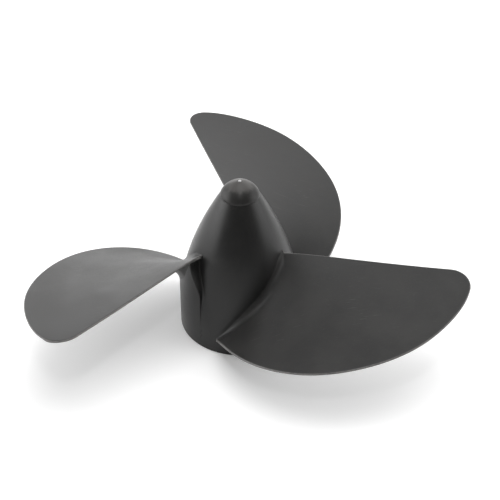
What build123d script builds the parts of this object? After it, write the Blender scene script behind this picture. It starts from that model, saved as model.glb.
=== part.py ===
from build123d import *

import os
from math import asin, cos, degrees, radians, sin, sqrt

# Weed-shedding three-blade propeller for an electric outboard motor.
# Millimetres. The origin is the centre of the hub's open base, on the shaft's axis.
# +Z runs from the motor's side of the hub to its point, which faces astern on the boat.

# Hub, outside
HUB_RADIUS = 38.0
SKIRT_HEIGHT = 15.8
NOSE_HEIGHT = 96.1
NOSE_RADIUS = 12.0
NOSE_POWER = 1.79
BASE_CHAMFER = 0.8

# Hub, inside
WALL = 4.0
CAVITY_HEIGHT = 58.0
RIB_COUNT = 6
RIB_THICKNESS = 3.0
BARREL_START = 4.0
BARREL_WALL = 4.0
SOCKET_RADIUS = 9.5

# Blades
BLADE_COUNT = 3
FIRST_BLADE_DIRECTION = 242.2
TIP_RADIUS = 144.0
ROOT_HEIGHT = 7.3
RISE_PER_RADIAN = 32.65
RISE_LOSS = 0.0542
RAKE = 0.0403
RAKE_CURVE = 0.00052
BULGE = 6.27
BULGE_LOSS = 0.0542
FULL_TURN = 1.8
EDGE_THICKNESS = 1.4
TIP_THICKNESS = 2.0
ROOT_THICKNESS = 6.0
TRAILING_DIRECTION = 106.5
TRAILING_OFFSET = 7.45
TIP_CORNER_RADIUS = 13.0
LEADING_EDGE = [
    (30.0, -6.0),
    (38.0, 4.6),
    (43.5, 10.0),
    (59.7, 22.0),
    (81.2, 35.0),
    (104.5, 50.0),
    (121.9, 64.0),
    (134.1, 76.0),
    (141.7, 88.1),
    (144.0, 96.0),
    (142.6, 103.44),
]
LEADING_START = 22.0
LEADING_SLOPE = 0.817
LEADING_PHASE = 24.5
SHOULDER_START = 3.0
SHOULDER_END = 107.7
SHOULDER_TOP = 62.0
STEP_CURVE_START = 38.0
STEP_CURVE_END = 61.0
SHOULDER_OVERRUN = 5.0
INNER_RADIUS = 24.0

# Cushion drive: sleeve, rubber and bronze core
SHAFT_BORE_RADIUS = 6.03
CORE_RADIUS = 9.0
CORE_START = 3.05
CORE_END = 62.0
CORE_RELIEF_RADIUS = 7.0
CORE_RELIEF_DEPTH = 1.0
PIN_SLOT_WIDTH = 5.2
PIN_SLOT_DEPTH = 6.0
SLEEVE_RADIUS = 13.5
SLEEVE_WALL = 1.0
SLEEVE_START = 12.0
SLEEVE_END = 58.0
RUBBER_RECESS = 1.0
RUNNING_GAP = 0.02
CIRCLIP_THICKNESS = 1.2
CIRCLIP_INNER_RADIUS = 11.6
CIRCLIP_OUTER_RADIUS = 14.2
CIRCLIP_GROOVE_RADIUS = 14.3
CIRCLIP_OPENING = 5.0
CIRCLIP_EYE_RADIUS = 1.8
CIRCLIP_EYE_HOLE = 0.8
CIRCLIP_EYE_CENTRE = 11.4
CIRCLIP_EYE_SPREAD = 5.0

# Washers and nut on the M8 end of the shaft
THRUST_WASHER_RADIUS = 12.0
THRUST_WASHER_THICKNESS = 3.0
WASHER_BORE = 4.2
REAR_WASHER_RADIUS = 8.0
REAR_WASHER_THICKNESS = 1.6
SPRING_WASHER_RADIUS = 9.0
SPRING_WASHER_THICKNESS = 1.8
SPRING_WASHER_DISH = 0.8
NUT_ACROSS_FLATS = 13.0
NUT_HEX_HEIGHT = 6.2
NUT_HEIGHT = 8.0
NUT_COLLAR_RADIUS = 5.8
NUT_BORE = 3.4
NUT_RING_SEAT = 4.9
NUT_RING_START = 5.4
NUT_RING_END = 7.7

# End cap
CAP_HEIGHT = 9.8
CAP_POWER = 1.56
CAP_STEM_RADIUS = 9.45
CAP_STEM_LENGTH = 12.0
CAP_STEM_WALL = 4.0
CAP_STEM_HOLLOW = 10.0
NUB_RADIUS = 1.1
NUB_HEIGHT = 0.35
SEAL_RADIUS = 8.6
SEAL_SECTION = 0.88
SEAL_GROOVE_RADIUS = 7.7
SEAL_GROOVE_WIDTH = 2.2
SEAL_BELOW_CAP = 8.0

CURVE_STEPS = 12
SURFACE_STEPS = 20
SURFACE_INNER_RADIUS = 18.0
SURFACE_OUTER_RADIUS = 150.0
SURFACE_START = -14.0
SURFACE_END = 116.0
TALL = 150.0


def polar(radius, angle):
    return (radius * cos(radians(angle)), radius * sin(radians(angle)))


def spread(low, high, steps):
    return [low + (high - low) * step / steps for step in range(steps + 1)]


def tube(outer, inner, low, high):
    """A ring about the shaft's axis, from one height to another."""
    ring = Circle(outer) - Circle(inner)
    return extrude(Plane.XY.offset(low) * ring, high - low)


def rod(radius, low, high):
    return extrude(Plane.XY.offset(low) * Circle(radius), high - low)


def turned(*edges):
    """A solid turned about the shaft's axis from a closed profile in the XZ plane."""
    return revolve(make_face(edges), Axis.Z)


def path(*points):
    """A polyline in the XZ plane through points given as radius and height."""
    return Polyline(*[(radius, 0, height) for radius, height in points])


def nose_radius(height):
    share = (height - SKIRT_HEIGHT) / (NOSE_HEIGHT - SKIRT_HEIGHT)
    return HUB_RADIUS - (HUB_RADIUS - NOSE_RADIUS) * share ** NOSE_POWER


def nose_curve(inset, top):
    heights = spread(SKIRT_HEIGHT, top, CURVE_STEPS)
    return Spline(*[(nose_radius(height) - inset, 0, height) for height in heights])


def cap_curve():
    """Rounded end of the cap: a superellipse, from its rim up to its top."""
    power = 2 / CAP_POWER
    points = []
    for angle in spread(0, 90, CURVE_STEPS):
        across, up = polar(1, angle)
        points.append((NOSE_RADIUS * abs(across) ** power, 0, NOSE_HEIGHT + CAP_HEIGHT * up ** power))
    return Spline(*points)


def blade_height(radius, angle):
    """Height of a blade's rear face: a right-hand screw surface with a little rake."""
    out = radius - HUB_RADIUS
    turn = radians(angle)
    rake = ROOT_HEIGHT + RAKE * out + RAKE_CURVE * out ** 2
    rise = (RISE_PER_RADIAN - RISE_LOSS * out) * turn
    bulge = (BULGE - BULGE_LOSS * out) * turn * (FULL_TURN - turn)
    return rake + rise + bulge


def chord_share(radius, angle):
    """Place across the blade: -1 at the leading edge and 1 at the trailing edge."""
    reach = min(radius / TIP_RADIUS, 1.0)
    leading = LEADING_START + (degrees(asin(reach)) - LEADING_PHASE) / LEADING_SLOPE
    trailing = TRAILING_DIRECTION - degrees(asin(TRAILING_OFFSET / radius))
    share = 2 * (angle - leading) / max(trailing - leading, 1.0) - 1
    return max(-1.0, min(1.0, share))


def blade_thickness(radius, angle):
    """Thickness along Z: thin at the edges, full along the middle of the chord."""
    out = max(0.0, min(1.0, (radius - HUB_RADIUS) / (TIP_RADIUS - HUB_RADIUS)))
    middle = ROOT_THICKNESS + (TIP_THICKNESS - ROOT_THICKNESS) * sqrt(out)
    fullness = (1 - chord_share(radius, angle) ** 2) ** 1.5
    square = EDGE_THICKNESS + (middle - EDGE_THICKNESS) * fullness
    slope = RISE_PER_RADIAN / radius
    return square * sqrt(1 + slope ** 2)


def blade_surface(drop):
    """The screw surface, lowered by a share of the blade's thickness."""
    rows = []
    for radius in spread(SURFACE_INNER_RADIUS, SURFACE_OUTER_RADIUS, SURFACE_STEPS):
        row = []
        for angle in spread(SURFACE_START, SURFACE_END, SURFACE_STEPS):
            height = blade_height(radius, angle) - drop * blade_thickness(radius, angle)
            row.append((*polar(radius, angle), height))
        rows.append(row)
    return Face.make_surface_from_array_of_points(rows, min_deg=3)


def space_above(surface):
    return Solid.extrude(surface, Vector(0, 0, TALL))


def blade_outline():
    """Plan view of one blade; its inner end runs on into the hub."""
    leading = Spline(*[polar(radius, angle) for radius, angle in LEADING_EDGE])
    start = LEADING_EDGE[0][1]
    end = TRAILING_DIRECTION - degrees(asin(TRAILING_OFFSET / INNER_RADIUS))
    inner = CenterArc((0, 0), INNER_RADIUS, start, end - start)
    trailing = Line(leading @ 1, inner @ 1)
    root = Line(inner @ 0, leading @ 0)
    plan = make_face([leading, trailing, inner, root])
    corner = plan.vertices().sort_by_distance(leading @ 1)[0]
    return fillet(corner, TIP_CORNER_RADIUS)


def blade_directions():
    return [FIRST_BLADE_DIRECTION + 360 * index / BLADE_COUNT for index in range(BLADE_COUNT)]


def nose_body():
    """The solid outside shape of the hub, without the shoulders under the blades."""
    skirt = path(
        (0, 0),
        (HUB_RADIUS - BASE_CHAMFER, 0),
        (HUB_RADIUS, BASE_CHAMFER),
        (HUB_RADIUS, SKIRT_HEIGHT),
    )
    top = path((NOSE_RADIUS, NOSE_HEIGHT), (0, NOSE_HEIGHT), (0, 0))
    return turned(*skirt.edges(), nose_curve(0, NOSE_HEIGHT), *top.edges())


def beyond_shoulder():
    """The space past a shoulder's end, which curves up into the blade's trailing edge."""
    foot = HUB_RADIUS * sin(radians(SHOULDER_END - TRAILING_DIRECTION))
    curve = []
    for share in spread(0, 1, CURVE_STEPS):
        eased = share * share * (3 - 2 * share)
        height = STEP_CURVE_START + (STEP_CURVE_END - STEP_CURVE_START) * share
        curve.append((foot - (foot + TRAILING_OFFSET) * eased, height))
    step = Spline(*curve, tangents=[(0, 1), (0, 1)])
    rest = Polyline(step @ 1, (-TRAILING_OFFSET, TALL), (TALL, TALL), (TALL, 0), (foot, 0), step @ 0)
    along = polar(1, TRAILING_DIRECTION)
    across = polar(1, TRAILING_DIRECTION + 90)
    plane = Plane(origin=(0, 0, 0), x_dir=(*across, 0), z_dir=(*along, 0))
    return extrude(plane * make_face([step, *rest.edges()]), TALL)


def shoulder(above_lower_face):
    """The full-width wedge of hub below one blade, out to the skirt's radius."""
    span = SHOULDER_END + SHOULDER_OVERRUN - SHOULDER_START
    arc = CenterArc((0, 0), HUB_RADIUS, SHOULDER_START, span)
    sides = Polyline(arc @ 1, (0, 0), arc @ 0)
    sector = Plane.XY.offset(BASE_CHAMFER) * make_face([arc, *sides.edges()])
    wedge = extrude(sector, SHOULDER_TOP - BASE_CHAMFER)
    return wedge - rod(INNER_RADIUS, 0, TALL) - beyond_shoulder() - above_lower_face


def hub_pockets():
    """The spaces between the shell, the barrel and the ribs, open at the base."""
    inner = nose_radius(CAVITY_HEIGHT) - WALL
    rim = path((0, 0), (HUB_RADIUS - WALL, 0), (HUB_RADIUS - WALL, SKIRT_HEIGHT))
    roof = path((inner, CAVITY_HEIGHT), (0, CAVITY_HEIGHT), (0, 0))
    space = turned(*rim.edges(), nose_curve(WALL, CAVITY_HEIGHT), *roof.edges())
    space -= rod(SLEEVE_RADIUS + BARREL_WALL, BARREL_START, CAVITY_HEIGHT)
    for index in range(RIB_COUNT // 2):
        rib = extrude(
            Plane.XY.offset(BARREL_START) * Rectangle(2 * HUB_RADIUS, RIB_THICKNESS),
            CAVITY_HEIGHT - BARREL_START,
        )
        space -= Rot(0, 0, 360 * index / RIB_COUNT) * rib
    return space


def hub_shell(nose, shoulders):
    shell = nose
    for wedge in shoulders:
        shell += wedge
    groove_low = SLEEVE_START - CIRCLIP_THICKNESS
    shell -= hub_pockets()
    shell -= rod(SLEEVE_RADIUS, 0, SLEEVE_END)
    shell -= rod(CIRCLIP_GROOVE_RADIUS, groove_low, SLEEVE_START)
    shell -= rod(SOCKET_RADIUS, 0, NOSE_HEIGHT)
    return shell


def bush_circlip():
    """Internal retaining ring with two eyes for pliers."""
    ring = Circle(CIRCLIP_OUTER_RADIUS) - Circle(CIRCLIP_INNER_RADIUS)
    opening = Rectangle(2 * CIRCLIP_OUTER_RADIUS, CIRCLIP_OPENING, align=(Align.MIN, Align.CENTER))
    ring -= opening
    for side in (-1, 1):
        eye = Pos(CIRCLIP_EYE_CENTRE, side * CIRCLIP_EYE_SPREAD)
        ring += eye * Circle(CIRCLIP_EYE_RADIUS)
        ring -= eye * Circle(CIRCLIP_EYE_HOLE)
    low = SLEEVE_START - CIRCLIP_THICKNESS
    return extrude(Plane.XY.offset(low) * ring, CIRCLIP_THICKNESS)


def bush_sleeve():
    return tube(SLEEVE_RADIUS, SLEEVE_RADIUS - SLEEVE_WALL, SLEEVE_START, SLEEVE_END)


def bush_rubber():
    return tube(
        SLEEVE_RADIUS - SLEEVE_WALL,
        CORE_RADIUS + RUNNING_GAP,
        SLEEVE_START + RUBBER_RECESS,
        SLEEVE_END - RUBBER_RECESS,
    )


def drive_hub():
    """Bronze core with a cross slot for the shaft's drive pin and a relief at the nut's end."""
    core = tube(CORE_RADIUS, SHAFT_BORE_RADIUS, CORE_START, CORE_END)
    core -= rod(CORE_RELIEF_RADIUS, CORE_END - CORE_RELIEF_DEPTH, CORE_END)
    slot = Plane.XY.offset(CORE_START) * Rectangle(2 * CORE_RADIUS, PIN_SLOT_WIDTH)
    return core - extrude(slot, PIN_SLOT_DEPTH)


def spring_washer(low):
    dish = SPRING_WASHER_DISH
    profile = path(
        (WASHER_BORE, low + dish),
        (SPRING_WASHER_RADIUS, low),
        (SPRING_WASHER_RADIUS, low + SPRING_WASHER_THICKNESS),
        (WASHER_BORE, low + dish + SPRING_WASHER_THICKNESS),
        (WASHER_BORE, low + dish),
    )
    return turned(*profile.edges())


def prop_nut(low):
    """Hexagon lock nut with a round collar that holds a locking ring."""
    across = NUT_ACROSS_FLATS / 2
    hexagon = extrude(Plane.XY.offset(low) * RegularPolygon(across, 6, major_radius=False), NUT_HEX_HEIGHT)
    collar = rod(NUT_COLLAR_RADIUS, low, low + NUT_HEIGHT)
    bore = rod(NUT_BORE, low, low + NUT_HEIGHT)
    seat = rod(NUT_RING_SEAT, low + NUT_RING_START, low + NUT_RING_END)
    return hexagon + collar - bore - seat


def nut_locking_ring(low):
    return tube(NUT_RING_SEAT, NUT_BORE, low + NUT_RING_START, low + NUT_RING_END)


def end_cap():
    """Rounded cap with a hollow stem that plugs the nut's socket."""
    flat = path((0, NOSE_HEIGHT + CAP_HEIGHT), (0, NOSE_HEIGHT), (NOSE_RADIUS, NOSE_HEIGHT))
    cap = turned(cap_curve(), *flat.edges())
    cap += rod(NUB_RADIUS, NOSE_HEIGHT, NOSE_HEIGHT + CAP_HEIGHT + NUB_HEIGHT)
    stem_low = NOSE_HEIGHT - CAP_STEM_LENGTH
    cap += rod(CAP_STEM_RADIUS, stem_low, NOSE_HEIGHT)
    cap -= rod(CAP_STEM_RADIUS - CAP_STEM_WALL, stem_low, stem_low + CAP_STEM_HOLLOW)
    groove = NOSE_HEIGHT - SEAL_BELOW_CAP
    half = SEAL_GROOVE_WIDTH / 2
    return cap - tube(CAP_STEM_RADIUS + WALL, SEAL_GROOVE_RADIUS, groove - half, groove + half)


def end_cap_seal():
    return Pos(0, 0, NOSE_HEIGHT - SEAL_BELOW_CAP) * Torus(SEAL_RADIUS, SEAL_SECTION)


def blade_parts():
    """The blades, and the shoulders below them, each set at its own direction."""
    above_lower_face = space_above(blade_surface(1.0))
    above_rear_face = space_above(blade_surface(0.0))
    wedge = shoulder(above_lower_face)
    blade = extrude(blade_outline(), TALL) & above_lower_face
    blade = blade - above_rear_face - nose_body()
    blades = [Rot(0, 0, angle) * blade for angle in blade_directions()]
    wedges = [Rot(0, 0, angle) * wedge for angle in blade_directions()]
    return blades, wedges


def build_nodes():
    blades, wedges = blade_parts()
    spring_low = CORE_END + REAR_WASHER_THICKNESS
    nut_low = spring_low + SPRING_WASHER_DISH + SPRING_WASHER_THICKNESS
    nodes = {
        "hub_shell": hub_shell(nose_body(), wedges),
        "end_cap": end_cap(),
        "end_cap_seal": end_cap_seal(),
        "bush_sleeve": bush_sleeve(),
        "bush_rubber": bush_rubber(),
        "bush_circlip": bush_circlip(),
        "drive_hub": drive_hub(),
        "thrust_washer": tube(THRUST_WASHER_RADIUS, SHAFT_BORE_RADIUS, 0, THRUST_WASHER_THICKNESS),
        "rear_washer": tube(REAR_WASHER_RADIUS, WASHER_BORE, CORE_END, spring_low),
        "spring_washer": spring_washer(spring_low),
        "prop_nut": prop_nut(nut_low),
        "nut_locking_ring": nut_locking_ring(nut_low),
    }
    for index, blade in enumerate(blades, start=1):
        nodes[f"blade_{index}"] = blade
    return nodes


os.makedirs("parts", exist_ok=True)
for name, shape in build_nodes().items():
    export_step(shape, f"parts/{name}.step")
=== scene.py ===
"""Looks of a three-blade weed-shedding propeller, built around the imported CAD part."""

from math import acos, asin, atan2, cos, degrees, pi, radians, sin, sqrt

import bmesh
import bpy
import numpy as np
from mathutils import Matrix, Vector


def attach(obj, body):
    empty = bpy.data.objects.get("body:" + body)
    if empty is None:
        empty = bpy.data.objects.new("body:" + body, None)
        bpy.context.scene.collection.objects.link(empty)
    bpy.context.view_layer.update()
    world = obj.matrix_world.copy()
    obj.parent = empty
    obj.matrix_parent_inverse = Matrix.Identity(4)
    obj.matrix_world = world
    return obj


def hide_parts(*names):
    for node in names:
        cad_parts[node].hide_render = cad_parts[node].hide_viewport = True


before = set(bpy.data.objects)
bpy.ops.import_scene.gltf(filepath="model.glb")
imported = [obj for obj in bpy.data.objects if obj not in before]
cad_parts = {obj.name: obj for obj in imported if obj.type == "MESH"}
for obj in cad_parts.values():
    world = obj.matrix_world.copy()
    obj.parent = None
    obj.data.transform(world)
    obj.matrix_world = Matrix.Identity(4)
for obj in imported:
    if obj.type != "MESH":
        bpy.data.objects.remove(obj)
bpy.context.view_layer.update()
MM = 0.001

# Hub, in millimetres, as in the CAD part
HUB_RADIUS = 38.0
SKIRT_HEIGHT = 15.8
NOSE_HEIGHT = 96.1
NOSE_RADIUS = 12.0
NOSE_POWER = 1.79  # how late the ogive turns in
NOSE_EDGE = 0.12
BASE_EDGE = 0.8
WALL = 4.0
CAVITY_HEIGHT = 58.0
CAVITY_ROUND = 2.0
BARREL_START = 4.0
BARREL_RADIUS = 17.5
SLEEVE_RADIUS = 13.5
GROOVE_RADIUS = 14.3
GROOVE_LOW = 10.8
GROOVE_HIGH = 12.0
SOCKET_RADIUS = 9.5
RIB_COUNT = 6
RIB_THICKNESS = 3.0
RIB_LEAN = 0.25  # draft of each side
RIB_EDGE = 0.5
RIB_FILLET = 1.5
RIB_FLARE = 0.8  # extra half width at the barrel and the wall, over the reach below
RIB_FLARE_REACH = 2.0

# Shoulder under each blade: directions in degrees after the blade's own, the rest in millimetres
SHOULDER_START = 3.0
SHOULDER_END = 107.7
SHIFT_START = 66.0  # from here on a column follows the curve of the shoulder's end
STEP_CURVE_START = 38.0
STEP_CURVE_END = 61.0
STEP_RELEASE = (62.0, 20.0)  # where the curve starts to die away, and over what height
STEP_BEHIND = 0.05
STEP_ROUND = 0.6
STEP_FILLET = 1.3
STEP_INNER = 25.0  # the curve's turn is no sharper than it is at this radius
STEP_COLUMNS = 5
LEDGE_ROUND = 0.8
LEDGE_FILLET = 1.4

# Blades, in millimetres and degrees, as in the CAD part
BLADE_COUNT = 3
SECTOR = 360.0 / BLADE_COUNT
FIRST_BLADE_DIRECTION = 242.2
TIP_RADIUS = 144.0
ROOT_HEIGHT = 7.3
RISE_PER_RADIAN = 32.65
RISE_LOSS = 0.0542
RAKE = 0.0403
RAKE_CURVE = 0.00052
BULGE = 6.27
BULGE_LOSS = 0.0542
FULL_TURN = 1.8
EDGE_THICKNESS = 1.4
TIP_THICKNESS = 2.0
ROOT_THICKNESS = 6.0
LEADING_EDGE = [  # radius and direction
    (30.0, -6.0),
    (38.0, 4.6),
    (43.5, 10.0),
    (59.7, 22.0),
    (81.2, 35.0),
    (104.5, 50.0),
    (121.9, 64.0),
    (134.1, 76.0),
    (141.7, 88.1),
    (144.0, 96.0),
    (142.6, 103.44),
]
LEADING_START = 22.0
LEADING_SLOPE = 0.817
LEADING_PHASE = 24.5
TRAILING_DIRECTION = 106.5
TRAILING_OFFSET = 7.45
TRAILING_WALL = 30.2  # radius of the hub where the trailing edge meets it
TIP_CORNER_RADIUS = 13.0
TIP_SEARCH = (100.0, 143.0)  # how far out the tip corner's centre may be
EDGE_INNER = 20.0
EDGE_LINE_INNER = 26.0

# Blade skin: edge rounding, fillets at the root, and the rows hidden inside the hub
RIM_ROUND = 0.8
REAR_FILLET = 6.0
REAR_FILLET_RISE = (2.0, 34.0)  # direction where the fillet starts to grow, and over what turn
UNDER_FILLET = 9.0
UNDER_FILLET_RISE = (3.0, 44.0)
EDGE_FILLET = 0.45
FILLET_SEARCH = (-5.0, 92.0)  # heights between which a rear fillet touches the hub
FLARE_RADIUS = 1.6  # the trailing edge flares out as it reaches the hub
FLARE_WALL = 29.0
EMBED = 0.012  # skins overlap this much, so that no gap shows
HIDDEN_NEAR = 36.6
HIDDEN_MIDDLE = 35.0
HIDDEN_DEPTH = 1.6
HIDDEN_SHIFT = (60.0, 30.0)  # hidden rows follow the trailing edge from here, over this turn

# End cap, in millimetres
CAP_HEIGHT = 9.8
CAP_POWER = 1.56  # 2 is an ellipse, less is more pointed
CAP_STEM_RADIUS = 9.45
CAP_STEM_LENGTH = 12.0
CAP_STEM_INNER = 5.45
CAP_STEM_HOLLOW = 10.0
CAP_SEAM = 0.02
CAP_EDGE = 0.14
SEAL_GROOVE_RADIUS = 7.7
SEAL_GROOVE_LOW = 87.0
SEAL_GROOVE_HIGH = 89.2
SEAL_GROOVE_EDGE = 0.15
NUB_RADIUS = 1.05
NUB_ROUND = 0.5
NUB_FOOT_RADIUS = 1.9

# Looks: tones are plain reflectance, heights and lengths are in metres
# Tone of the lighter blade edges: partly scuffed wear, partly a painted highlight along the rounded edges
EDGE_WEAR_AND_HIGHLIGHT = 0.13
# Painted light: the cap's dome is painted lighter above these heights, for the light its upward-facing top
# catches
TIP_PAINTED_LIGHT_TONE = 0.056
TIP_PAINTED_LIGHT_HEIGHTS = (0.1012, 0.1040)
TIP_RAGGED = 0.003
# Painted highlight: the nub's top is painted near white, as a glint
NUB_HIGHLIGHT_HEIGHTS = (0.1058, 0.1060)
NUB_HIGHLIGHT_TONE = 0.42
NUB_SHINE = 0.20  # the nub is this much less rough

# Studio, in metres
CENTRE = (0.0, 0.0, 0.05)
FLOOR_HALF = 6.0
FLOOR_HEIGHT = -0.0002
FLOOR_GLOW = 0.20
SEEN_WORLD = (0.93, 0.93, 0.94, 1.0)
OVERHEAD_RISE = (0.25, 0.75, 1.05, 1.25)  # a direction's height from and to, its light from and to
FRONT_DIM = (-0.50, 0.20, 0.10, 1.0)  # the same from the front backward, as a share
SOFT_BOXES = [  # direction, cosines where the glow starts and where it is full, strength
    ((-0.96, 0.05, 0.12), 0.78, 0.97, 4.8),
    ((0.98, -0.05, 0.16), 0.88, 0.98, 2.6),
    ((-0.14, 0.97, 0.16), 0.92, 0.99, 2.6),
    ((0.50, 0.62, 0.58), 0.80, 0.97, 1.7),
]
CAMERA_PLACE = Vector((0.00605, -0.6861, 0.5958))
CAMERA_TARGET = Vector((0.00605, 0.0, 0.05358))
CAMERA_LENS = 102.03
CAMERA_SENSOR = 36.0


# ---------------------------------------------------------------- mesh helpers

def new_piece(name, points, faces, material, body, sharp=38.0, rim=None):
    """A closed mesh from points in millimetres, smooth except at sharp turns."""
    mesh = bpy.data.meshes.new(name)
    mesh.from_pydata([tuple(float(c) * MM for c in p) for p in points], [], faces)
    if rim is not None:
        layer = mesh.attributes.new("rim", "FLOAT", "POINT")
        layer.data.foreach_set("value", np.asarray(rim, np.float32))
    work = bmesh.new()
    work.from_mesh(mesh)
    bmesh.ops.dissolve_degenerate(work, dist=1e-7, edges=work.edges)
    bmesh.ops.recalc_face_normals(work, faces=work.faces)
    work.to_mesh(mesh)
    work.free()
    mesh.polygons.foreach_set("use_smooth", [True] * len(mesh.polygons))
    mesh.set_sharp_from_angle(angle=radians(sharp))
    mesh.materials.append(material)
    piece = bpy.data.objects.new(name, mesh)
    bpy.context.scene.collection.objects.link(piece)
    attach(piece, body)
    return piece


def arc_points(centre, radius, start, end, steps):
    """Points (r, z) round a centre, between two directions in degrees."""
    out = []
    for k in range(steps + 1):
        a = radians(start + (end - start) * k / steps)
        out.append((centre[0] + radius * cos(a), centre[1] + radius * sin(a)))
    return out


def rounded(corners, steps=4):
    """A profile with its corners rounded: each corner is (r, z) or (r, z, radius)."""
    out = []
    count = len(corners)
    for k, corner in enumerate(corners):
        radius = corner[2] if len(corner) > 2 else 0.0
        here = Vector(corner[:2])
        if radius <= 0:
            out.append(tuple(here))
            continue
        before = Vector(corners[(k - 1) % count][:2])
        after = Vector(corners[(k + 1) % count][:2])
        u, v = (before - here).normalized(), (after - here).normalized()
        half = acos(max(-1.0, min(1.0, u.dot(v)))) / 2
        reach = radius / max(1e-6, abs(sin(half) / cos(half)))
        a, b = here + u * reach, here + v * reach
        centre = here + (u + v).normalized() * (radius / sin(half))
        start = atan2(a.y - centre.y, a.x - centre.x)
        turn = atan2(b.y - centre.y, b.x - centre.x) - start
        turn = (turn + pi) % (2 * pi) - pi
        for s in range(steps + 1):
            t = start + turn * s / steps
            out.append((centre.x + radius * cos(t), centre.y + radius * sin(t)))
    return out


def turned(profile, steps=96):
    """Points and faces of a closed profile (r, z) turned about Z. Points on the axis are shared."""
    points, index = [], []
    for r, z in profile:
        if r < 1e-6:
            points.append((0.0, 0.0, z))
            index.append([len(points) - 1] * steps)
            continue
        row = []
        for k in range(steps):
            a = 2 * pi * k / steps
            points.append((r * cos(a), r * sin(a), z))
            row.append(len(points) - 1)
        index.append(row)
    faces = []
    count = len(profile)
    for i in range(count):
        low, high = index[i], index[(i + 1) % count]
        for k in range(steps):
            n = (k + 1) % steps
            ring = [low[k], low[n], high[n], high[k]]
            face = [v for j, v in enumerate(ring) if v != ring[j - 1]]
            if len(face) > 2:
                faces.append(face)
    return points, faces


# ---------------------------------------------------------------- shape laws

def nose_radius(z):
    """The hub's outer radius at a height: a straight skirt, then an ogive."""
    share = np.clip((np.asarray(z, float) - SKIRT_HEIGHT) / (NOSE_HEIGHT - SKIRT_HEIGHT), 0, 1.2)
    return HUB_RADIUS - (HUB_RADIUS - NOSE_RADIUS) * share ** NOSE_POWER


def nose_slope(z):
    return (nose_radius(z + 0.05) - nose_radius(z - 0.05)) / 0.1


def blade_height(r, a):
    """Height of the blade's rear face at a radius and a direction after the blade's own."""
    out, turn = r - HUB_RADIUS, np.radians(a)
    rake = ROOT_HEIGHT + RAKE * out + RAKE_CURVE * out ** 2
    rise = (RISE_PER_RADIAN - RISE_LOSS * out) * turn
    return rake + rise + (BULGE - BULGE_LOSS * out) * turn * (FULL_TURN - turn)


def blade_thickness(r, a):
    """Thickness measured along the axis: thin at both edges and toward the tip."""
    reach = np.minimum(r / TIP_RADIUS, 1.0)
    leading = LEADING_START + (np.degrees(np.arcsin(reach)) - LEADING_PHASE) / LEADING_SLOPE
    trailing = TRAILING_DIRECTION - np.degrees(np.arcsin(TRAILING_OFFSET / r))
    share = np.clip(2 * (a - leading) / np.maximum(trailing - leading, 1.0) - 1, -1, 1)
    out = np.clip((r - HUB_RADIUS) / (TIP_RADIUS - HUB_RADIUS), 0, 1)
    middle = ROOT_THICKNESS + (TIP_THICKNESS - ROOT_THICKNESS) * np.sqrt(out)
    square = EDGE_THICKNESS + (middle - EDGE_THICKNESS) * (1 - share ** 2) ** 1.5
    return square * np.sqrt(1 + (RISE_PER_RADIAN / r) ** 2)


def blade_low(r, a):
    return blade_height(r, a) - blade_thickness(r, a)


def smooth_curve(knots, samples):
    """A natural cubic curve through points in the plane."""
    p = np.array(knots, float)
    t = np.concatenate([[0], np.cumsum(np.hypot(*np.diff(p, axis=0).T))])
    n = len(p)
    h = np.diff(t)
    system = np.eye(n)
    right = np.zeros((n, 2))
    for i in range(1, n - 1):
        system[i, i - 1:i + 2] = h[i - 1], 2 * (h[i - 1] + h[i]), h[i]
        right[i] = 6 * ((p[i + 1] - p[i]) / h[i] - (p[i] - p[i - 1]) / h[i - 1])
    m = np.linalg.solve(system, right)
    out = []
    for s in np.linspace(0, t[-1], samples):
        i = min(n - 2, max(0, int(np.searchsorted(t, s, side="right")) - 1))
        a, b = (t[i + 1] - s) / h[i], (s - t[i]) / h[i]
        bend = ((a ** 3 - a) * m[i] + (b ** 3 - b) * m[i + 1]) * h[i] ** 2 / 6
        out.append(a * p[i] + b * p[i + 1] + bend)
    return np.array(out)


def by_trailing(distance, ahead):
    """A point in plan, so far out in the trailing edge's direction and so far ahead of the axis."""
    t = radians(TRAILING_DIRECTION)
    return distance * np.array([cos(t), sin(t)]) + ahead * np.array([sin(t), -cos(t)])


def tip_corner(lead):
    """The tip's round corner: how far out it is, the leading point where it starts, and its points."""
    low, high = TIP_SEARCH
    for _ in range(40):
        middle = (low + high) / 2
        centre = by_trailing(middle, TRAILING_OFFSET + TIP_CORNER_RADIUS)
        gap = np.hypot(*(lead - centre).T).min()
        low, high = (middle, high) if gap > TIP_CORNER_RADIUS else (low, middle)
    centre = by_trailing(low, TRAILING_OFFSET + TIP_CORNER_RADIUS)
    touch = int(np.argmin(np.hypot(*(lead - centre).T)))
    start = atan2(*(lead[touch] - centre)[::-1])
    end = atan2(*by_trailing(0, -1)[::-1])
    turn = (end - start + pi) % (2 * pi) - pi
    directions = [start + turn * k / 60 for k in range(1, 61)]
    return low, touch, [centre + TIP_CORNER_RADIUS * np.array([cos(t), sin(t)]) for t in directions]


def blade_edges():
    """Leading and trailing edges in plan, each as (radius, angle) from the hub to the farthest point."""
    knots = [(r * cos(radians(a)), r * sin(radians(a))) for r, a in LEADING_EDGE]
    lead = smooth_curve(knots, 2400)
    out, touch, corner = tip_corner(lead)
    line = [by_trailing(t, TRAILING_OFFSET) for t in np.linspace(out, EDGE_INNER, 500)[1:]]
    whole = np.array([*lead[:touch + 1], *corner, *line])
    r, a = np.hypot(*whole.T), np.degrees(np.arctan2(whole[:, 1], whole[:, 0]))
    top = int(np.argmax(r))
    x = np.clip(r[top:] - FLARE_WALL, 0, FLARE_RADIUS)
    flare = FLARE_RADIUS - np.sqrt(FLARE_RADIUS ** 2 - (FLARE_RADIUS - x) ** 2)
    behind = a[top:] + np.degrees(flare / r[top:])
    return (r[:top + 1], a[:top + 1]), (r[top:][::-1], behind[::-1])


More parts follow.
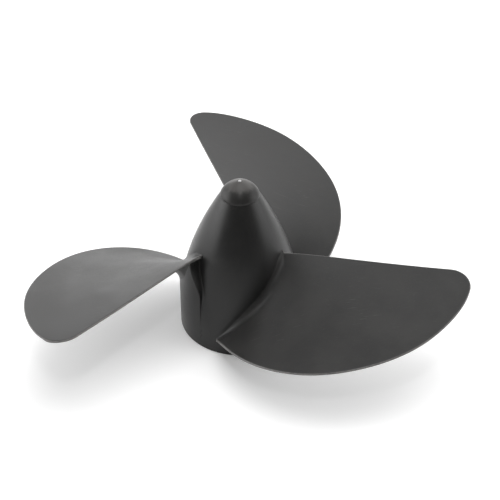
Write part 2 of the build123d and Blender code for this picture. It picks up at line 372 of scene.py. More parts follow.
AHEAD, BEHIND = blade_edges()
APEX_RADIUS = float(AHEAD[0][-1])


def lead_angle(r):
    """Direction of the leading edge at a radius."""
    return np.interp(r, AHEAD[0], AHEAD[1])


def trail_angle(r):
    """Direction of the trailing edge at a radius."""
    return np.interp(r, BEHIND[0], BEHIND[1])


def edge_polyline():
    """The blade's whole edge in plan, leading edge first."""
    r = np.concatenate([AHEAD[0], BEHIND[0][::-1]])
    a = np.radians(np.concatenate([AHEAD[1], BEHIND[1][::-1]]))
    keep = r > EDGE_LINE_INNER
    return np.column_stack([r * np.cos(a), r * np.sin(a)])[keep]


EDGE_LINE = edge_polyline()


def edge_distance(r, a):
    """Distance in plan from points to the blade's edge."""
    p = np.column_stack([(r * np.cos(np.radians(a))).ravel(), (r * np.sin(np.radians(a))).ravel()])
    s, e = EDGE_LINE[:-1], EDGE_LINE[1:]
    d = e - s
    size = np.maximum((d ** 2).sum(1), 1e-12)
    best = np.full(len(p), 1e9)
    for block in range(0, len(p), 2000):
        q = p[block:block + 2000]
        t = np.clip(((q[:, None] - s) * d).sum(2) / size, 0, 1)
        gap = q[:, None] - (s + t[..., None] * d)
        best[block:block + 2000] = np.sqrt((gap ** 2).sum(2)).min(1)
    return best.reshape(np.shape(r))


# ---------------------------------------------------------------- blade skin

def rim_heights(r, a):
    """Heights of the rear and front faces with the blade's edge rounded, and the edge distance."""
    high, low = blade_height(r, a), blade_low(r, a)
    gap = edge_distance(r, a)
    share = np.clip(gap / RIM_ROUND, 0, 1)
    full = np.sqrt(np.clip(1 - (1 - share) ** 2, 0, 1))
    middle, half = (high + low) / 2, (high - low) / 2
    return middle + half * full, middle - half * full, gap


def soft(x):
    """A share from 0 to 1 that starts and ends gently."""
    x = np.clip(x, 0, 1)
    return x * x * (3 - 2 * x)


def rear_radius(a, gap):
    """Radius of the fillet between the hub and the rear face: small at the blade's edges."""
    start, length = REAR_FILLET_RISE
    along = 1.0 + (REAR_FILLET - 1.0) * soft((a - start) / length)
    return np.minimum(along, EDGE_FILLET + 0.85 * gap)


def under_radius(a, gap):
    """Radius of the fillet between the shoulder and the front face."""
    start, length = UNDER_FILLET_RISE
    along = 1.0 + (UNDER_FILLET - 1.0) * soft((a - start) / length)
    return np.minimum(along, EDGE_FILLET + 1.1 * gap)


def rear_arc(a, rho):
    """Circle in the (r, z) plane that touches the hub's wall and the blade's rear face."""
    def state(z):
        slope = nose_slope(z)
        size = sqrt(1 + slope ** 2)
        nr, nz = 1 / size, -slope / size
        return nose_radius(z) - EMBED + rho * nr, z + rho * nz, nr, nz
    low, high = FILLET_SEARCH
    for _ in range(36):
        z = (low + high) / 2
        rc, zc, _, _ = state(z)
        m = blade_height(rc + 0.5, a) - blade_height(rc - 0.5, a)
        above = (zc - blade_height(rc, a)) / sqrt(1 + m * m)
        low, high = (z, high) if above < rho else (low, z)
    rc, zc, nr, nz = state(z)
    start = degrees(atan2(-nz, -nr)) % 360
    end = degrees(atan2(-1.0, m)) % 360
    return rc, zc, start, end


def under_arc(a, rho):
    """Circle that touches the shoulder's wall and the blade's front face from below."""
    rc = HUB_RADIUS - EMBED + rho
    m = blade_low(rc + 0.5, a) - blade_low(rc - 0.5, a)
    zc = blade_low(rc, a) - rho * sqrt(1 + m * m)
    return rc, zc, 180.0, degrees(atan2(1.0, -m))


ARC_STEPS = 8
RIM_COLUMNS = [0.015, 0.134, 0.357, 0.658, 1.0, 1.6, 2.6]
MIDDLE_COLUMNS = 44
OUT_ROWS = 84


def column_shares(chord):
    """Places across a row from 0 to 1, close together at the rounded edges."""
    reach = [w * RIM_ROUND for w in RIM_COLUMNS[:5]] + RIM_COLUMNS[5:]
    scale = min(1.0, 0.30 * chord / reach[-1])
    ends = [w * scale / chord for w in reach]
    inner = np.linspace(ends[-1], 1 - ends[-1], MIDDLE_COLUMNS)
    return np.array([*ends[:-1], *inner, *[1 - w for w in reversed(ends[:-1])]])


def out_shares():
    """Places from the root to the tip, closer together at both ends."""
    t = np.linspace(0, 1, OUT_ROWS)
    steps = 0.012 + np.sin(pi * t) ** 0.8
    tail = 1 - (1 - t) ** 0.5
    steps = steps * (1 - 0.9 * tail)
    v = np.cumsum(steps)
    return (v - v[0]) / (v[-1] - v[0])


def row_places(r_lead, r_trail):
    """Directions across a row, and each one's distance from the leading and the trailing edge."""
    first, last = lead_angle(r_lead), trail_angle(r_trail)
    chord = radians(last - first) * (r_lead + r_trail) / 2
    shares = column_shares(chord)
    return first + (last - first) * shares, shares * chord, (1 - shares) * chord


def fillet_rows(rear):
    """Rows of (r, angle, z) that climb from the hub's wall out onto one face of the blade."""
    radius_at, arc_at = (rear_radius, rear_arc) if rear else (under_radius, under_arc)
    wall_trail = TRAILING_WALL if rear else HUB_RADIUS
    rows = []
    for k in range(ARC_STEPS + 1):
        step = EDGE_FILLET * (1 - cos(radians(90.0 * k / ARC_STEPS)))
        angles, from_lead, from_trail = row_places(HUB_RADIUS + step, wall_trail + step)
        row = []
        for a, gap in zip(angles, np.minimum(from_lead, from_trail)):
            rho = float(radius_at(a, gap))
            rc, zc, start, end = arc_at(a, rho)
            t = radians(start + (end - start) * k / ARC_STEPS)
            row.append((rc + rho * cos(t), a, zc + rho * sin(t)))
        rows.append(np.array(row))
    return rows


def hidden_rows(first, rear_inner):
    """Rows inside the hub, so that a face is closed where it can't be seen.

    The rear face needs one row. The front face, which is given the rear's, meets it there.
    """
    def row_at(r, z):
        return np.column_stack([np.broadcast_to(r, len(first)), first[:, 1], z])

    if rear_inner is None:
        r = first[:, 0] - HIDDEN_DEPTH
        rows = [row_at(r, blade_height(r, first[:, 1]) + 0.4)]
    else:
        deep = np.interp(first[:, 1], rear_inner[:, 1], rear_inner[:, 0])
        rows = [row_at(r, blade_low(r, first[:, 1]) - 0.8) for r in (deep, HIDDEN_MIDDLE)]
        rows.append(row_at(HIDDEN_NEAR, first[:, 2] + 0.2))
    start, length = HIDDEN_SHIFT
    for row in rows:
        share = soft((row[:, 1] - start) / length)
        row[:, 1] += share * (trail_angle(row[:, 0]) - trail_angle(first[:, 0]))
    return rows


def blade_sheet(rear_inner=None):
    """One face of the blade as rows of (r, angle, z) from inside the hub to the tip, and edge gaps."""
    rear = rear_inner is None
    rows = fillet_rows(rear)
    last_row = rows[-1]
    end = APEX_RADIUS - 0.01
    for v in out_shares()[1:]:
        r = last_row[:, 0] + (end - last_row[:, 0]) * v
        angles, _, _ = row_places(r[0], r[-1])
        rows.append(np.column_stack([r, angles, np.zeros(len(r))]))
    grid = np.array(rows)
    radii, angles = grid[..., 0], grid[..., 1]
    high, low, gap = rim_heights(radii, angles)
    face, exact = (high, blade_height(radii, angles)) if rear else (low, blade_low(radii, angles))
    in_fillet = np.arange(len(grid))[:, None] <= ARC_STEPS
    grid[..., 2] = np.where(in_fillet, grid[..., 2] + (face - exact), face)
    hidden = hidden_rows(grid[0], rear_inner)
    whole = np.concatenate([np.array(hidden), grid])
    gaps = np.concatenate([np.repeat(gap[:1], len(hidden), axis=0), gap])
    return whole, gaps


def zip_strip(a, b, place_a, place_b):
    """Triangles between two rows of vertices that run the same way at their own pace."""
    faces, i, j = [], 0, 0
    while i < len(a) - 1 or j < len(b) - 1:
        next_a = place_a[i + 1] if i < len(a) - 1 else 1e9
        next_b = place_b[j + 1] if j < len(b) - 1 else 1e9
        if next_a <= next_b:
            faces.append((a[i], a[i + 1], b[j]))
            i += 1
        else:
            faces.append((a[i], b[j + 1], b[j]))
            j += 1
    return faces


def to_points(grid, turn):
    """Places in space for rows of (r, angle, z), turned about the axis."""
    a = np.radians(grid[..., 1] + turn)
    return np.stack([grid[..., 0] * np.cos(a), grid[..., 0] * np.sin(a), grid[..., 2]], -1)


def blade_skin(name, turn, material):
    """One closed blade from its rear and front faces, joined along all four sides."""
    rear, front = REAR_SHEET[0], FRONT_SHEET[0]
    points, faces, index = [], [], []
    for grid in (rear, front):
        start = len(points)
        placed = to_points(grid, turn)
        points.extend(placed.reshape(-1, 3))
        index.append(np.arange(start, len(points)).reshape(grid.shape[:2]))
    rim = np.concatenate([REAR_SHEET[1].ravel(), FRONT_SHEET[1].ravel()])
    for ids, flip in ((index[0], False), (index[1], True)):
        for i in range(ids.shape[0] - 1):
            for j in range(ids.shape[1] - 1):
                quad = (ids[i, j], ids[i + 1, j], ids[i + 1, j + 1], ids[i, j + 1])
                faces.append(quad[::-1] if flip else quad)
    up, down = index
    for column in (0, -1):
        faces += zip_strip(
            list(up[:, column]), list(down[:, column]), rear[:, column, 0], front[:, column, 0]
        )
    for j in range(up.shape[1] - 1):
        faces.append((up[0, j], up[0, j + 1], down[0, j + 1], down[0, j]))
        faces.append((up[-1, j], down[-1, j], down[-1, j + 1], up[-1, j + 1]))
    faces = [tuple(int(v) for v in f) for f in faces]
    return new_piece(name, points, faces, material, "propeller", rim=rim)


# ---------------------------------------------------------------- hub skin

def step_shift(r, z):
    """How far a shoulder's end has curved back toward the trailing edge, in degrees."""
    foot = HUB_RADIUS * sin(radians(SHOULDER_END - TRAILING_DIRECTION))
    share = float(soft((z - STEP_CURVE_START) / (STEP_CURVE_END - STEP_CURVE_START)))
    offset = foot - (foot + TRAILING_OFFSET + STEP_BEHIND) * share
    turn = degrees(asin(offset / max(r, STEP_INNER)))
    start, height = STEP_RELEASE
    return (SHOULDER_END - TRAILING_DIRECTION - turn) * (1 - float(soft((z - start) / height)))


def shoulder_share(local):
    """How much of the shift a direction on the shoulder takes: none at first, all at its end."""
    return float(soft((local - SHIFT_START) / (SHOULDER_END - SHIFT_START)))


def ledge_height(local):
    """Height of the shoulder's top at the skirt's radius, run back down between shoulders."""
    if SHOULDER_START <= local <= SHOULDER_END:
        bottom, ceiling = 0.0, 70.0
        for _ in range(40):
            middle = (bottom + ceiling) / 2
            place = local - shoulder_share(local) * step_shift(HUB_RADIUS, middle)
            above = blade_low(HUB_RADIUS, place) > middle
            bottom, ceiling = (middle, ceiling) if above else (bottom, middle)
        return bottom
    top = ledge_height(SHOULDER_END)
    low = float(blade_low(HUB_RADIUS, SHOULDER_START))
    start = local - SHOULDER_END if local > SHOULDER_END else local + SECTOR - SHOULDER_END
    return top + (low - top) * float(soft(start / (SECTOR - SHOULDER_END + SHOULDER_START)))


def hub_column(local, kind, share):
    """Outer profile of the hub at one direction: rows of (r, z, direction).

    A column runs up a shoulder or the plain hub, or up the step between them, where share says how
    far round the step's outer or inner rounding it stands.
    """
    top = ledge_height(local)
    width = HUB_RADIUS - float(nose_radius(top))
    edge, fillet = min(LEDGE_ROUND, 0.35 * width), min(LEDGE_FILLET, 0.45 * width)
    start, end = top - LEDGE_ROUND, top + LEDGE_FILLET
    shoulder = [(HUB_RADIUS, z) for z in np.linspace(BASE_EDGE, max(start, 3.0), 34)]
    shoulder += arc_points((HUB_RADIUS - edge, top - edge), edge, 0, 90, 4)
    foot = float(nose_radius(top + fillet))
    shoulder += arc_points((foot + fillet, top + fillet), fillet, 270, 180, 4)
    nose = [(float(nose_radius(z)), z) for z in np.linspace(end, NOSE_HEIGHT - 0.3, 56)[1:]]
    follow = 1.0
    if kind == "shoulder":
        follow = shoulder_share(local)
    elif kind == "plain":
        past = local - SHOULDER_END
        follow = 1 - float(soft(past / (SECTOR + SHOULDER_START - SHOULDER_END)))
    rows = []
    for high_r, z in shoulder:
        low_r = float(nose_radius(z))
        if kind in ("shoulder", "plain"):
            r = high_r if kind == "shoulder" else low_r
            rows.append((r, z, local - follow * step_shift(r, z)))
            continue
        height = max(high_r - low_r, 0.0)
        phi = radians(90 * share)
        if kind == "outer":
            size = min(STEP_ROUND, 0.45 * height)
            x, r = size * (sin(phi) - 1), high_r - size * (1 - cos(phi))
        else:
            size = min(STEP_FILLET, 0.5 * height)
            x, r = size * (1 - cos(phi)), low_r + size * (1 - sin(phi))
        rows.append((r, z, SHOULDER_END + degrees(x / HUB_RADIUS) - step_shift(r, z)))
    return rows + [(r, z, local - follow * step_shift(r, z)) for r, z in nose]


def hub_columns():
    """Directions round the hub, close together at the steps behind the shoulders."""
    out = []
    for k in range(BLADE_COUNT):
        base = FIRST_BLADE_DIRECTION + SECTOR * k
        outer_end = SHOULDER_END - degrees(STEP_ROUND / HUB_RADIUS)
        inner_start = SHOULDER_END + degrees(STEP_FILLET / HUB_RADIUS)
        for a in np.linspace(SHOULDER_START, outer_end - 0.4, 104):
            out.append((base, float(a), "shoulder", 0))
        for kind, place in (("outer", outer_end), ("inner", inner_start)):
            for s in range(STEP_COLUMNS + 1):
                out.append((base, place, kind, s / STEP_COLUMNS))
        for a in np.linspace(inner_start + 0.5, SECTOR + SHOULDER_START, 14)[:-1]:
            out.append((base, float(a), "plain", 0))
    return out


def inner_profile():
    """Inside of the hub, from the base's rim to the socket's mouth."""
    roof = float(nose_radius(CAVITY_HEIGHT)) - WALL - CAVITY_ROUND
    wall_top = CAVITY_HEIGHT - CAVITY_ROUND
    wall = [(float(nose_radius(z)) - WALL, z) for z in np.linspace(SKIRT_HEIGHT, wall_top - 0.2, 12)]
    path = rounded([
        (HUB_RADIUS, BASE_EDGE + 0.01),
        (HUB_RADIUS, 0.0, 0.7),
        (HUB_RADIUS - WALL, 0.0, 0.5),
        (HUB_RADIUS - WALL, SKIRT_HEIGHT),
    ])
    path = path[1:-1] + wall[1:]
    path += arc_points((roof, wall_top), CAVITY_ROUND, 10, 90, 4)
    path += rounded([
        (BARREL_RADIUS + CAVITY_ROUND + 0.2, CAVITY_HEIGHT),
        (BARREL_RADIUS, CAVITY_HEIGHT, CAVITY_ROUND),
        (BARREL_RADIUS - 0.3, BARREL_START, 0.6),
        (SLEEVE_RADIUS, BARREL_START, 0.8),
        (SLEEVE_RADIUS, GROOVE_LOW),
        (GROOVE_RADIUS, GROOVE_LOW),
        (GROOVE_RADIUS, GROOVE_HIGH),
        (SLEEVE_RADIUS, GROOVE_HIGH),
        (SLEEVE_RADIUS, CAVITY_HEIGHT),
        (SOCKET_RADIUS, CAVITY_HEIGHT),
        (SOCKET_RADIUS, NOSE_HEIGHT, 0.4),
        (NOSE_RADIUS, NOSE_HEIGHT, NOSE_EDGE),
        (NOSE_RADIUS + 0.1, NOSE_HEIGHT - 0.3),
    ])[1:-1]
    return path


def hub_skin(material):
    """The whole hub as one closed skin: outer columns that turn in at the nose and come back inside."""
    inside = inner_profile()
    points, columns = [], []
    for base, local, kind, share in hub_columns():
        outer = hub_column(local, kind, share)
        column = []
        for r, z, a in outer:
            t = radians(base + a)
            points.append((r * cos(t), r * sin(t), z))
            column.append(len(points) - 1)
        t = radians(base + outer[-1][2])
        for r, z in reversed(inside):
            points.append((r * cos(t), r * sin(t), z))
            column.append(len(points) - 1)
        columns.append(column)
    faces = []
    size = len(columns[0])
    for k, here in enumerate(columns):
        there = columns[(k + 1) % len(columns)]
        for i in range(size):
            n = (i + 1) % size
            faces.append((here[i], there[i], there[n], here[n]))
    return new_piece("hub_skin", points, faces, material, "propeller", sharp=42.0)


def rib_levels():
    """Heights and half widths of a rib: rounded free edge, draft, and a fillet at the roof."""
    half_low, half_high = RIB_THICKNESS / 2 - RIB_LEAN, RIB_THICKNESS / 2
    levels = []
    for t in np.linspace(90, 0, 5):
        z = BARREL_START + RIB_EDGE * (1 - sin(radians(t)))
        levels.append((z, half_low - RIB_EDGE * (1 - cos(radians(t)))))
    fillet_start = CAVITY_HEIGHT - RIB_FILLET
    for z in np.linspace(BARREL_START + 2, fillet_start, 10):
        levels.append((z, half_low + (half_high - half_low) * (z - BARREL_START) / CAVITY_HEIGHT))
    for t in np.linspace(10, 80, 4):
        spread = RIB_FILLET * (1 - cos(radians(t)))
        levels.append((fillet_start + RIB_FILLET * sin(radians(t)), half_high + spread))
    levels.append((CAVITY_HEIGHT + 1.0, half_high + RIB_FILLET))
    return levels


def rib_ring(z, half):
    """A rib's outline (x, y) at one height, wider where it meets the barrel and the wall."""
    out = float(nose_radius(z)) - WALL / 2
    inner, outer = BARREL_RADIUS, out - WALL / 2
    spans = np.linspace(inner - 1.5, out, 9)
    ring = []
    for side, order in ((1, spans), (-1, spans[::-1])):
        for r in order:
            near = max(0.0, 1 - max(r - inner, 0.0) / RIB_FLARE_REACH)
            far = max(0.0, 1 - max(outer - r, 0.0) / RIB_FLARE_REACH)
            ring.append((r, side * (half + RIB_FLARE * max(near, far) ** 2)))
    return ring


def rib_cage(material):
    """Six drafted ribs between the hub's wall and the barrel."""
    points, faces = [], []
    rings = [(z, rib_ring(z, half)) for z, half in rib_levels()]
    for k in range(RIB_COUNT):
        turn = radians(360 * k / RIB_COUNT)
        index = []
        for z, ring in rings:
            index.append(list(range(len(points), len(points) + len(ring))))
            points += [(x * cos(turn) - y * sin(turn), x * sin(turn) + y * cos(turn), z) for x, y in ring]
        for low, high in zip(index, index[1:]):
            for i in range(len(low)):
                n = (i + 1) % len(low)
                faces.append((low[i], low[n], high[n], high[i]))
        for ring in (index[0], index[-1]):
            for i in range(len(ring) // 2 - 1):
                faces.append((ring[i], ring[i + 1], ring[-2 - i], ring[-1 - i]))
    return new_piece("hub_ribs", points, faces, material, "propeller")


def cap_profile():
    """The cap in section: nub, dome, seam, then the stem with its seal's groove and hollow end."""
    power = 2 / CAP_POWER
    top = NOSE_HEIGHT + CAP_HEIGHT
    dome = []
    for angle in np.linspace(90, 3, 34):
        c, s = abs(cos(radians(angle))), sin(radians(angle))
        dome.append((NOSE_RADIUS * c ** power, NOSE_HEIGHT + CAP_HEIGHT * s ** power))
    dome = [point for point in dome if point[0] > NUB_FOOT_RADIUS]
    nub_low = top - 0.15
    nub = [(0.0, nub_low + NUB_ROUND)]
    for t in range(15, 91, 15):
        nub.append((NUB_RADIUS * sin(radians(t)), nub_low + NUB_ROUND * cos(radians(t))))
    nub += [(NUB_RADIUS + 0.2, top - 0.24), (NUB_RADIUS + 0.55, top - 0.18)]
    stem_low = NOSE_HEIGHT - CAP_STEM_LENGTH
    below = rounded([
        (NOSE_RADIUS - 0.02, NOSE_HEIGHT + 0.5),
        (NOSE_RADIUS, NOSE_HEIGHT + CAP_SEAM, CAP_EDGE),
        (CAP_STEM_RADIUS, NOSE_HEIGHT + CAP_SEAM, 0.2),
        (CAP_STEM_RADIUS, SEAL_GROOVE_HIGH, SEAL_GROOVE_EDGE),
        (SEAL_GROOVE_RADIUS, SEAL_GROOVE_HIGH, SEAL_GROOVE_EDGE),
        (SEAL_GROOVE_RADIUS, SEAL_GROOVE_LOW, SEAL_GROOVE_EDGE),
        (CAP_STEM_RADIUS, SEAL_GROOVE_LOW, SEAL_GROOVE_EDGE),
        (CAP_STEM_RADIUS, stem_low, 0.6),
        (CAP_STEM_INNER, stem_low, 0.4),
        (CAP_STEM_INNER, stem_low + CAP_STEM_HOLLOW, 0.6),
        (0.0, stem_low + CAP_STEM_HOLLOW),
    ])
    return nub + dome + below[1:]


# ---------------------------------------------------------------- materials

class Graph:
    """A short way to write a node tree."""

    def __init__(self, tree, coords):
        self.tree = tree
        tree.nodes.clear()
        self.coords = self.node("ShaderNodeTexCoord").outputs[coords]

    def put(self, socket, value):
        if hasattr(value, "is_output"):
            self.tree.links.new(value, socket)
        else:
            socket.default_value = value

    def node(self, kind, inputs=None, **settings):
        made = self.tree.nodes.new(kind)
        for key, value in settings.items():
            setattr(made, key, value)
        for key, value in (inputs or {}).items():
            self.put(made.inputs[key], value)
        return made

    def axes(self):
        return self.node("ShaderNodeSeparateXYZ", {"Vector": self.coords}).outputs

    def ramp(self, value, low, high, to_low=0.0, to_high=1.0):
        made = self.node("ShaderNodeMapRange", {
            "Value": value, "From Min": low, "From Max": high, "To Min": to_low, "To Max": to_high,
        }, interpolation_type="SMOOTHSTEP")
        return made.outputs[0]

    def math(self, operation, a, b=0.0):
        return self.node("ShaderNodeMath", {0: a, 1: b}, operation=operation).outputs[0]


class Nodes(Graph):
    """A material's tree: its colour, roughness and bumps come from noise in the object's own space."""

    def __init__(self, name):
        self.material = bpy.data.materials.new(name)
        self.material.use_nodes = True
        super().__init__(self.material.node_tree, "Object")
        self.shader = self.node("ShaderNodeBsdfPrincipled")
        self.node("ShaderNodeOutputMaterial", {"Surface": self.shader.outputs[0]})

    def mapped(self, scale=(1, 1, 1), turn=(0, 0, 0)):
        made = self.node("ShaderNodeMapping", {"Vector": self.coords, "Scale": scale, "Rotation": turn})
        return made.outputs[0]

    def noise(self, size, detail=3.0, rough=0.55, vector=None, distortion=0.0):
        """Noise with features of this size in millimetres."""
        made = self.node("ShaderNodeTexNoise", {
            "Vector": vector or self.coords, "Scale": 1 / (size * MM),
            "Detail": detail, "Roughness": rough, "Distortion": distortion,
        })
        return made.outputs["Fac"]

    def mix(self, share, a, b):
        return self.node("ShaderNodeMix", {0: share, 6: a, 7: b}, data_type="RGBA").outputs[2]

    def bump(self, height, depth, strength=1.0, normal=None):
        made = self.node("ShaderNodeBump", {"Height": height, "Distance": depth * MM, "Strength": strength})
        if normal is not None:
            self.put(made.inputs["Normal"], normal)
        return made.outputs[0]

    def set(self, **values):
        for key, value in values.items():
            self.put(self.shader.inputs[key.replace("_", " ")], value)


def grey(value, warm=0.0):
    return (value * (1 + warm), value, value * (1 - warm), 1.0)


def moulded(name, tone, rough, gloss=0.26, edge_wear_and_highlight=False, warm=0.03, tip=False):
    """Glass-filled nylon: charcoal, satin, a little mottled, with fine scuffs."""
    n = Nodes(name)
    cloud = n.noise(26.0, 4.0)
    grain = n.noise(0.9, 5.0, 0.7)
    flow = n.noise(3.2, 5.0, 0.65, n.mapped((1.0, 1.0, 0.18), (0.3, 0.2, 0.9)))
    colour = n.mix(n.ramp(cloud, 0.3, 0.7), grey(tone * 0.82, warm * 0.5), grey(tone * 1.16, warm))
    colour = n.mix(n.ramp(grain, 0.52, 0.74, 0.0, 0.42), colour, grey(tone * 1.9, warm))
    colour = n.mix(n.ramp(flow, 0.56, 0.78, 0.0, 0.22), colour, grey(tone * 1.7, warm * 1.5))
    scratch = None
    for k, turn in enumerate(((0.2, 0.1, 0.5), (0.1, -0.2, 2.0), (0.0, 0.3, 1.2))):
        stretched = n.mapped((1.0, 14.0, 1.0), turn)
        line = n.ramp(n.noise(7.0 + 2 * k, 2.0, 0.5, stretched, 0.3), 0.655, 0.70)
        patch = n.ramp(n.noise(31.0 + 9 * k, 2.0), 0.54, 0.70)
        line = n.math("MULTIPLY", line, patch)
        scratch = line if scratch is None else n.math("MAXIMUM", scratch, line)
    colour = n.mix(n.math("MULTIPLY", scratch, 0.30), colour, grey(tone * 4.0, warm))
    # Lighter band along the blade's edges: partly scuffed wear, partly a painted highlight on the rounded
    # edges
    if edge_wear_and_highlight:
        rim = n.node("ShaderNodeAttribute", attribute_name="rim").outputs["Fac"]
        broken = n.noise(2.4, 4.0, 0.7)
        band = n.ramp(rim, 0.75, 0.30)
        edge = n.math("MULTIPLY", band, n.ramp(broken, 0.25, 0.6, 0.45, 1.0))
        colour = n.mix(edge, colour, grey(EDGE_WEAR_AND_HIGHLIGHT, warm))
    if tip:
        # Painted light: the dome's top is painted lighter, with a ragged boundary, for the light it catches
        # facing upward
        height = n.axes()[2]
        ragged = n.math("MULTIPLY", n.math("SUBTRACT", n.noise(3.0, 4.0), 0.5), TIP_RAGGED)
        painted_top_light = n.ramp(n.math("ADD", height, ragged), *TIP_PAINTED_LIGHT_HEIGHTS)
        # Painted highlight: the nub's top is painted near white as a glint; the same mask also makes it
        # less rough below
        nub = n.ramp(height, *NUB_HIGHLIGHT_HEIGHTS)
        colour = n.mix(painted_top_light, colour, grey(TIP_PAINTED_LIGHT_TONE, warm))
        colour = n.mix(nub, colour, grey(NUB_HIGHLIGHT_TONE))
    n.set(Base_Color=colour)
    roughness = n.ramp(cloud, 0.25, 0.75, rough - 0.05, rough + 0.06)
    roughness = n.math("ADD", roughness, n.math("MULTIPLY", n.ramp(grain, 0.4, 0.7), 0.07))
    roughness = n.math("SUBTRACT", roughness, n.math("MULTIPLY", scratch, 0.10))
    if tip:
        roughness = n.math("SUBTRACT", roughness, n.math("MULTIPLY", nub, NUB_SHINE))
    n.set(Roughness=roughness, Specular_IOR_Level=gloss, IOR=1.5)
    broad = n.bump(n.noise(11.0, 2.0), 0.05, 0.8)
    fine = n.bump(n.math("SUBTRACT", grain, n.math("MULTIPLY", scratch, 0.6)), 0.012, 0.9, broad)
    n.set(Normal=fine)
    return n.material


def machined(name, colour, rough, turned_about_axis=True, tarnish=0.25):
    """Turned or stamped metal: fine rings, slight tarnish."""
    n = Nodes(name)
    cloud = n.noise(5.0, 4.0)
    if turned_about_axis:
        x, y, z = n.axes()
        radius = n.math("SQRT", n.math("ADD", n.math("POWER", x, 2.0), n.math("POWER", y, 2.0)))
        rings = n.node("ShaderNodeCombineXYZ", {"X": radius, "Z": z}).outputs[0]
        grain = n.noise(0.12, 3.0, 0.6, rings)
    else:
        grain = n.noise(0.25, 4.0, 0.6, n.mapped((1.0, 9.0, 1.0)))
    dark = tuple(c * (1 - tarnish) for c in colour[:3]) + (1.0,)
    base = n.mix(n.ramp(cloud, 0.35, 0.68), colour, dark)
    base = n.mix(n.ramp(grain, 0.45, 0.75, 0.0, 0.3), base, dark)
    n.set(Base_Color=base, Metallic=1.0)
    n.set(Roughness=n.ramp(cloud, 0.3, 0.7, rough - 0.06, rough + 0.1))
    n.set(Normal=n.bump(grain, 0.01, 0.7))
    return n.material


def rubbery(name, tone, rough=0.72):
    """Matt black rubber with a dusty grain."""
    n = Nodes(name)
    cloud, grain = n.noise(4.0, 4.0), n.noise(0.3, 4.0, 0.7)
    base = n.mix(n.ramp(cloud, 0.3, 0.7), grey(tone * 0.75), grey(tone * 1.3))
    base = n.mix(n.ramp(grain, 0.55, 0.75, 0.0, 0.4), base, grey(tone * 2.4))
    n.set(Base_Color=base, Roughness=n.ramp(cloud, 0.3, 0.7, rough - 0.07, rough + 0.07))
    n.set(Normal=n.bump(grain, 0.02, 0.8))
    return n.material


def nylon(name, colour):
    """Coloured nylon, slightly translucent."""
    n = Nodes(name)
    cloud, grain = n.noise(3.0, 3.0), n.noise(0.25, 4.0)
    dark = tuple(c * 0.75 for c in colour[:3]) + (1.0,)
    n.set(Base_Color=n.mix(n.ramp(cloud, 0.3, 0.7), colour, dark))
    n.set(Roughness=n.ramp(grain, 0.3, 0.7, 0.35, 0.5), Normal=n.bump(grain, 0.01, 0.6))
    n.set(Subsurface_Weight=0.1)
    return n.material


COMPOSITE = moulded("composite", 0.010, 0.33, gloss=0.32)
BLADE_COMPOSITE = moulded("blade_composite", 0.020, 0.37, edge_wear_and_highlight=True)
CAP_PLASTIC = moulded("cap_plastic", 0.016, 0.35, warm=0.05, tip=True)

# ---------------------------------------------------------------- build

REAR_SHEET = blade_sheet()
FRONT_SHEET = blade_sheet(rear_inner=REAR_SHEET[0][0])

hub = hub_skin(COMPOSITE)
ribs = rib_cage(COMPOSITE)
for piece in (hub, ribs):
    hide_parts("hub_shell")

for number in range(BLADE_COUNT):
    skin = blade_skin(f"blade_skin_{number + 1}", FIRST_BLADE_DIRECTION + SECTOR * number, BLADE_COMPOSITE)
    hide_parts(f"blade_{number + 1}")

cap = new_piece("cap_dome", *turned(cap_profile()), CAP_PLASTIC, "end_cap")
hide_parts("end_cap")

NODE_LOOKS = {
    "end_cap_seal": rubbery("seal_rubber", 0.015, 0.5),
    "bush_sleeve": machined("sleeve_aluminium", (0.78, 0.79, 0.80, 1.0), 0.34),
    "bush_rubber": rubbery("bush_rubber", 0.02),
    "bush_circlip": machined("spring_steel", (0.30, 0.29, 0.28, 1.0), 0.38, False),
    "drive_hub": machined("bronze", (0.62, 0.41, 0.20, 1.0), 0.30),
    "thrust_washer": machined("washer_bronze", (0.64, 0.44, 0.23, 1.0), 0.33),
    "rear_washer": machined("stainless", (0.62, 0.62, 0.61, 1.0), 0.30),
    "spring_washer": machined("stainless_spring", (0.52, 0.52, 0.51, 1.0), 0.34),
    "prop_nut": machined("stainless_nut", (0.62, 0.62, 0.62, 1.0), 0.27, False),
    "nut_locking_ring": nylon("locking_nylon", (0.10, 0.25, 0.55, 1.0)),
}
for node, material in NODE_LOOKS.items():
    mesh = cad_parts[node].data
    mesh.materials.clear()
    mesh.materials.append(material)

# ---------------------------------------------------------------- stage, lights and camera

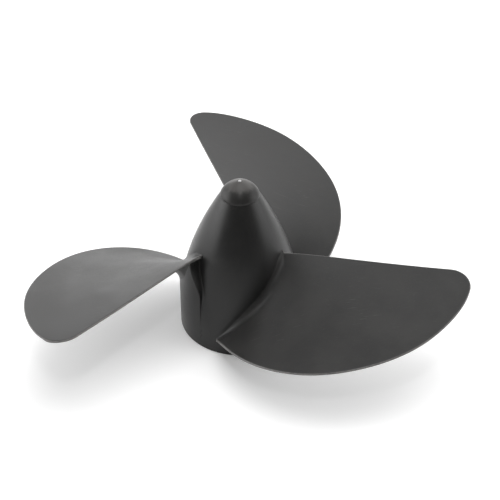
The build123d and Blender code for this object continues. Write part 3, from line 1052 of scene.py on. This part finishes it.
def stage_floor():
    """Plain pale paper, a hair below the rim so that the two don't coincide."""
    n = Nodes("floor_paper")
    n.set(Base_Color=n.mix(n.ramp(n.noise(400.0, 2.0), 0.3, 0.7), grey(0.89), grey(0.93)), Roughness=0.85)
    n.set(Specular_IOR_Level=0.1, Emission_Color=grey(1.0), Emission_Strength=FLOOR_GLOW)
    mesh = bpy.data.meshes.new("floor")
    signs = ((-1, -1), (1, -1), (1, 1), (-1, 1))
    corners = [(x * FLOOR_HALF, y * FLOOR_HALF, FLOOR_HEIGHT) for x, y in signs]
    mesh.from_pydata(corners, [], [(0, 1, 2, 3)])
    mesh.materials.append(n.material)
    floor = bpy.data.objects.new("floor", mesh)
    bpy.context.scene.collection.objects.link(floor)


def aimed(thing, place, aim):
    """Puts a lamp or a camera in the scene, pointing at a place."""
    thing.location = place
    thing.rotation_mode = "QUATERNION"
    thing.rotation_quaternion = (Vector(aim) - Vector(place)).to_track_quat("-Z", "Y")
    bpy.context.scene.collection.objects.link(thing)


def soft_box(name, place, side, power):
    light = bpy.data.lights.new(name, "AREA")
    light.shape = "RECTANGLE"
    light.size = light.size_y = side
    light.energy = power
    aimed(bpy.data.objects.new(name, light), place, CENTRE)


def studio():
    """Pale surroundings: a little brighter overhead, dim in front, with large soft boxes round about."""
    world = bpy.data.worlds.new("studio")
    world.use_nodes = True
    n = Graph(world.node_tree, "Generated")
    _, y, z = n.axes()
    level = n.math("MULTIPLY", n.ramp(z, *OVERHEAD_RISE), n.ramp(y, *FRONT_DIM))
    for direction, start, full, strength in SOFT_BOXES:
        toward = n.node("ShaderNodeVectorMath", {0: n.coords, 1: Vector(direction).normalized()},
                        operation="DOT_PRODUCT").outputs["Value"]
        level = n.math("ADD", level, n.ramp(toward, start, full, 0.0, strength))
    lit = n.node("ShaderNodeBackground", {"Strength": level}).outputs[0]
    seen = n.node("ShaderNodeBackground", {"Color": SEEN_WORLD}).outputs[0]
    is_seen = n.node("ShaderNodeLightPath").outputs["Is Camera Ray"]
    both = n.node("ShaderNodeMixShader", {0: is_seen, 1: lit, 2: seen}).outputs[0]
    n.node("ShaderNodeOutputWorld", {"Surface": both})
    bpy.context.scene.world = world


def view_camera():
    camera = bpy.data.objects.new("camera", bpy.data.cameras.new("camera"))
    camera.data.lens = CAMERA_LENS
    camera.data.sensor_width = CAMERA_SENSOR
    aimed(camera, CAMERA_PLACE, CAMERA_TARGET)
    return camera


stage_floor()
studio()
soft_box("overhead", (0.1, -0.1, 1.7), 1.2, 11.0)
soft_box("spot", (0.0, -0.8, 1.3), 0.10, 1.6)
bpy.context.scene.camera = view_camera()
bpy.context.scene.view_settings.view_transform = "Standard"
